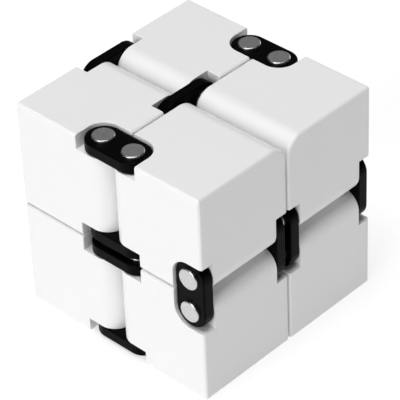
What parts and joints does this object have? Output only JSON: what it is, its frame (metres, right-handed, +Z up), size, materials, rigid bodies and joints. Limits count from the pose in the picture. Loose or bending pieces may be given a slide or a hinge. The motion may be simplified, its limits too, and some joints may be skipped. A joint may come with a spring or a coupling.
{
  "type": "folding fidget cube",
  "caption": "Folding fidget cube: small hollow plastic cubes joined in a closed ring by double-pin link hinges, so it can be opened and turned inside out endlessly.",
  "frame": {"origin": "middle of the underside of the closed cube, on the surface that it stands on", "axes": "+X to the right face, where the upper and lower layers are hinged together; +Y to the back; +Z up. The left face in the picture is the front, -Y."},
  "size_m": [0.04, 0.04, 0.04],
  "materials": {
    "white_plastic": "smooth satin gloss moulding",
    "black_plastic": "semi-gloss moulding",
    "pin_steel": "bright turned steel"
  },
  "bodies": {
    "base_pair": {"shell_bottom_front_left": "white_plastic", "lid_bottom_front_left": "white_plastic", "shell_bottom_back_left": "white_plastic", "lid_bottom_back_left": "white_plastic", "link_plate_bottom_left_left_end": "black_plastic", "link_plate_bottom_left_right_end": "black_plastic", "pin_bottom_left_front": "pin_steel", "pin_bottom_left_back": "pin_steel"},
    "front_lower_link": {"link_plate_front_lower_lower_end": "black_plastic", "link_plate_front_lower_upper_end": "black_plastic", "pin_front_lower_left": "pin_steel", "pin_front_lower_right": "pin_steel"},
    "front_lower_cube": {"shell_bottom_front_right": "white_plastic", "lid_bottom_front_right": "white_plastic"},
    "right_front_link": {"link_plate_right_front_front_end": "black_plastic", "link_plate_right_front_back_end": "black_plastic", "pin_right_front_lower": "pin_steel", "pin_right_front_upper": "pin_steel"},
    "front_upper_cube": {"shell_top_front_right": "white_plastic", "lid_top_front_right": "white_plastic"},
    "front_upper_link": {"link_plate_front_upper_lower_end": "black_plastic", "link_plate_front_upper_upper_end": "black_plastic", "pin_front_upper_left": "pin_steel", "pin_front_upper_right": "pin_steel"},
    "top_pair": {"shell_top_front_left": "white_plastic", "lid_top_front_left": "white_plastic", "shell_top_back_left": "white_plastic", "lid_top_back_left": "white_plastic", "link_plate_top_left_left_end": "black_plastic", "link_plate_top_left_right_end": "black_plastic", "pin_top_left_front": "pin_steel", "pin_top_left_back": "pin_steel"},
    "back_upper_link": {"link_plate_back_upper_lower_end": "black_plastic", "link_plate_back_upper_upper_end": "black_plastic", "pin_back_upper_left": "pin_steel", "pin_back_upper_right": "pin_steel"},
    "back_upper_cube": {"shell_top_back_right": "white_plastic", "lid_top_back_right": "white_plastic"},
    "right_back_link": {"link_plate_right_back_front_end": "black_plastic", "link_plate_right_back_back_end": "black_plastic", "pin_right_back_lower": "pin_steel", "pin_right_back_upper": "pin_steel"},
    "back_lower_cube": {"shell_bottom_back_right": "white_plastic", "lid_bottom_back_right": "white_plastic"},
    "back_lower_link": {"link_plate_back_lower_lower_end": "black_plastic", "link_plate_back_lower_upper_end": "black_plastic", "pin_back_lower_left": "pin_steel", "pin_back_lower_right": "pin_steel"}
  },
  "joints": [
    {"name": "front_door_left_pin", "type": "hinge", "parent": "base_pair", "child": "front_lower_link", "pos_m": [-0.00325, -0.0169, 0.00992], "axis": [0, 0, -1], "range_deg": [0, 90]},
    {"name": "front_door_right_pin", "type": "hinge", "parent": "front_lower_link", "child": "front_lower_cube", "pos_m": [0.00325, -0.0169, 0.00992], "axis": [0, 0, -1], "range_deg": [0, 90]},
    {"name": "fold_lower_pin", "type": "hinge", "parent": "front_lower_cube", "child": "right_front_link", "pos_m": [0.0169, -0.01008, 0.01675], "axis": [0, 1, 0], "range_deg": [0, 90]},
    {"name": "fold_upper_pin", "type": "hinge", "parent": "right_front_link", "child": "front_upper_cube", "pos_m": [0.0169, -0.01008, 0.02325], "axis": [0, 1, 0], "range_deg": [0, 90]},
    {"name": "front_upper_right_pin", "type": "hinge", "parent": "front_upper_cube", "child": "front_upper_link", "pos_m": [0.00325, -0.0169, 0.03008], "axis": [0, 0, 1], "range_deg": [0, 90]},
    {"name": "front_upper_left_pin", "type": "hinge", "parent": "front_upper_link", "child": "top_pair", "pos_m": [-0.00325, -0.0169, 0.03008], "axis": [0, 0, 1], "range_deg": [0, 90]},
    {"name": "back_door_left_pin", "type": "hinge", "parent": "top_pair", "child": "back_upper_link", "pos_m": [-0.00325, 0.0169, 0.03008], "axis": [0, 0, 1], "range_deg": [0, 90]},
    {"name": "back_door_right_pin", "type": "hinge", "parent": "back_upper_link", "child": "back_upper_cube", "pos_m": [0.00325, 0.0169, 0.03008], "axis": [0, 0, 1], "range_deg": [0, 90]},
    {"name": "right_back_upper_pin", "type": "hinge", "parent": "back_upper_cube", "child": "right_back_link", "pos_m": [0.0169, 0.01008, 0.02325], "axis": [0, -1, 0], "range_deg": [0, 90]},
    {"name": "right_back_lower_pin", "type": "hinge", "parent": "right_back_link", "child": "back_lower_cube", "pos_m": [0.0169, 0.01008, 0.01675], "axis": [0, -1, 0], "range_deg": [0, 90]},
    {"name": "back_lower_right_pin", "type": "hinge", "parent": "back_lower_cube", "child": "back_lower_link", "pos_m": [0.00325, 0.0169, 0.00992], "axis": [0, 0, -1], "range_deg": [0, 90]}
  ],
  "couplings": [
    {"joint": "front_upper_right_pin", "follows": "front_door_right_pin", "ratio": 1},
    {"joint": "front_upper_left_pin", "follows": "front_door_left_pin", "ratio": 1},
    {"joint": "right_back_upper_pin", "follows": "fold_upper_pin", "ratio": 1},
    {"joint": "right_back_lower_pin", "follows": "fold_lower_pin", "ratio": 1},
    {"joint": "back_lower_right_pin", "follows": "back_door_right_pin", "ratio": 1}
  ]
}
